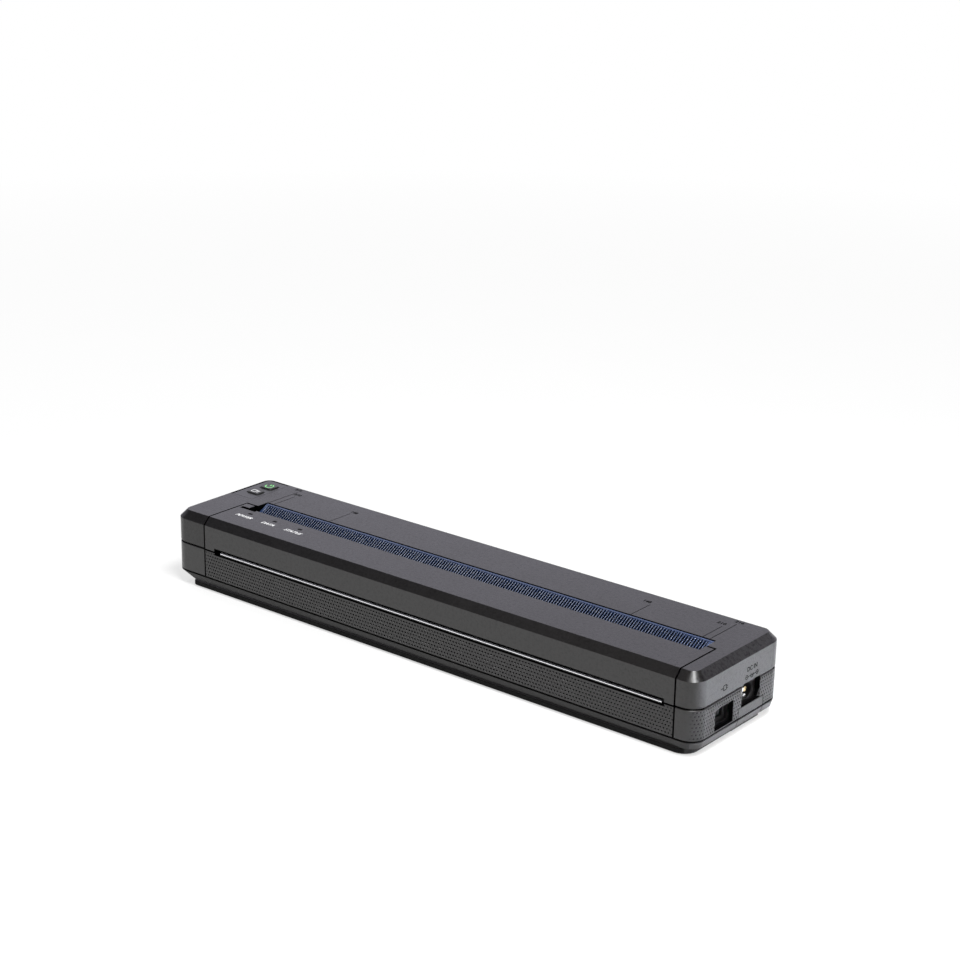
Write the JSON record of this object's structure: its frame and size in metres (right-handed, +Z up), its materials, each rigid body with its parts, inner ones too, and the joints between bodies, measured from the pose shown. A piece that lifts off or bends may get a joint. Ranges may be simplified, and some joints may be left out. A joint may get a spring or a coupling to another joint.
{
  "type": "portable thermal printer",
  "caption": "Slim portable thermal printer for full-size sheets, with a hinged release cover, ribbed paper guide, platen drive, print head, battery and sockets in the end",
  "frame": {"origin": "On the table, at the middle of the printer's plan: the centre of the bottom of its box.", "axes": "+X runs along the printer towards the end with the sockets, +Y from the paper exit in front to the back, +Z up from the table."},
  "size_m": [0.255, 0.055, 0.0317],
  "materials": {
    "smooth_shell": "fine eggshell, warm dark grey",
    "dotted_shell": "matt, covered in shallow round dots",
    "panel_plastic": "fine matt",
    "button_plastic": "fine matt",
    "blue_guide": "satin, slate blue",
    "clear_plastic": "clear, polished",
    "white_plastic": "natural",
    "black_plastic": "moulded",
    "ribbon_plastic": "flat film",
    "circuit_board": "solder resist",
    "head_ceramic": "glazed ceramic strip",
    "bright_steel": "ground",
    "sheet_steel": "zinc plated sheet",
    "sink_aluminium": "extruded",
    "brass_gear": "cut",
    "brass_contact": "plated",
    "roller_rubber": "ground smooth",
    "foot_rubber": "moulded"
  },
  "bodies": {
    "case": {"top_cover": "smooth_shell", "bottom_case": "dotted_shell", "front_panel": "dotted_shell", "hinge_pins": "bright_steel", "status_leds": "white_plastic", "paper_guide": "blue_guide", "tear_bar": "bright_steel", "control_panel": "panel_plastic", "switch_board": "circuit_board", "left_side_plate": "sheet_steel", "right_side_plate": "sheet_steel", "platen_bushes": "white_plastic", "gear_post": "bright_steel", "drive_motor": "sheet_steel", "motor_screws": "bright_steel", "head_pivot_rod": "bright_steel", "head_springs": "bright_steel", "head_ribbon": "ribbon_plastic", "paper_sensor": "black_plastic", "main_board": "circuit_board", "interface_board": "circuit_board", "cable_socket": "sheet_steel", "power_inlet": "black_plastic", "inlet_pin": "brass_contact", "inlet_contact": "bright_steel", "battery_pack": "black_plastic", "battery_contacts": "brass_contact", "rubber_feet": "foot_rubber", "case_screws": "bright_steel", "plate_screws": "bright_steel"},
    "release_cover": {"release_cover": "smooth_shell", "status_light_guide": "clear_plastic"},
    "platen": {"platen_shaft": "bright_steel", "platen_roller": "roller_rubber", "platen_gear": "white_plastic"},
    "reduction": {"reduction_gear": "white_plastic"},
    "motor_rotor": {"motor_pinion": "brass_gear", "motor_shaft": "bright_steel"},
    "print_head": {"print_head": "head_ceramic", "head_heat_sink": "sink_aluminium"},
    "power_button": {"power_button": "button_plastic"},
    "feed_button": {"feed_button": "button_plastic"},
    "battery_cover": {"battery_cover": "smooth_shell", "cover_foot": "foot_rubber"}
  },
  "joints": [
    {"name": "release_cover_hinge", "type": "hinge", "parent": "case", "child": "release_cover", "pos_m": [0, -0.026, 0.0204], "axis": [1, 0, 0], "range_deg": [0, 85]},
    {"name": "platen_spin", "type": "hinge", "parent": "case", "child": "platen", "pos_m": [0, -0.0155, 0.023], "axis": [1, 0, 0], "continuous": true},
    {"name": "reduction_spin", "type": "hinge", "parent": "case", "child": "reduction", "pos_m": [-0.116, -0.00808, 0.0179], "axis": [1, 0, 0], "continuous": true},
    {"name": "motor_spin", "type": "hinge", "parent": "case", "child": "motor_rotor", "pos_m": [-0.116, 0.004, 0.01471], "axis": [1, 0, 0], "continuous": true},
    {"name": "head_release", "type": "hinge", "parent": "case", "child": "print_head", "pos_m": [0, -0.0168, 0.0112], "axis": [-1, 0, 0], "range_deg": [0, 3.5], "deforming": ["head_springs"]},
    {"name": "power_button_press", "type": "slide", "parent": "case", "child": "power_button", "axis": [0, 0, -1], "range_m": [0, 0.0005], "stiffness_N_per_m": 600, "springref_m": -0.0005},
    {"name": "feed_button_press", "type": "slide", "parent": "case", "child": "feed_button", "axis": [0, 0, -1], "range_m": [0, 0.0005], "stiffness_N_per_m": 600, "springref_m": -0.0005},
    {"name": "battery_cover_slide", "type": "slide", "parent": "case", "child": "battery_cover", "axis": [1, 0, 0], "range_m": [0, 0.2]}
  ],
  "couplings": [
    {"joint": "reduction_spin", "follows": "platen_spin", "ratio": -1.5714},
    {"joint": "motor_spin", "follows": "platen_spin", "ratio": 4.9762},
    {"joint": "head_release", "follows": "release_cover_hinge", "ratio": 0.041176}
  ]
}
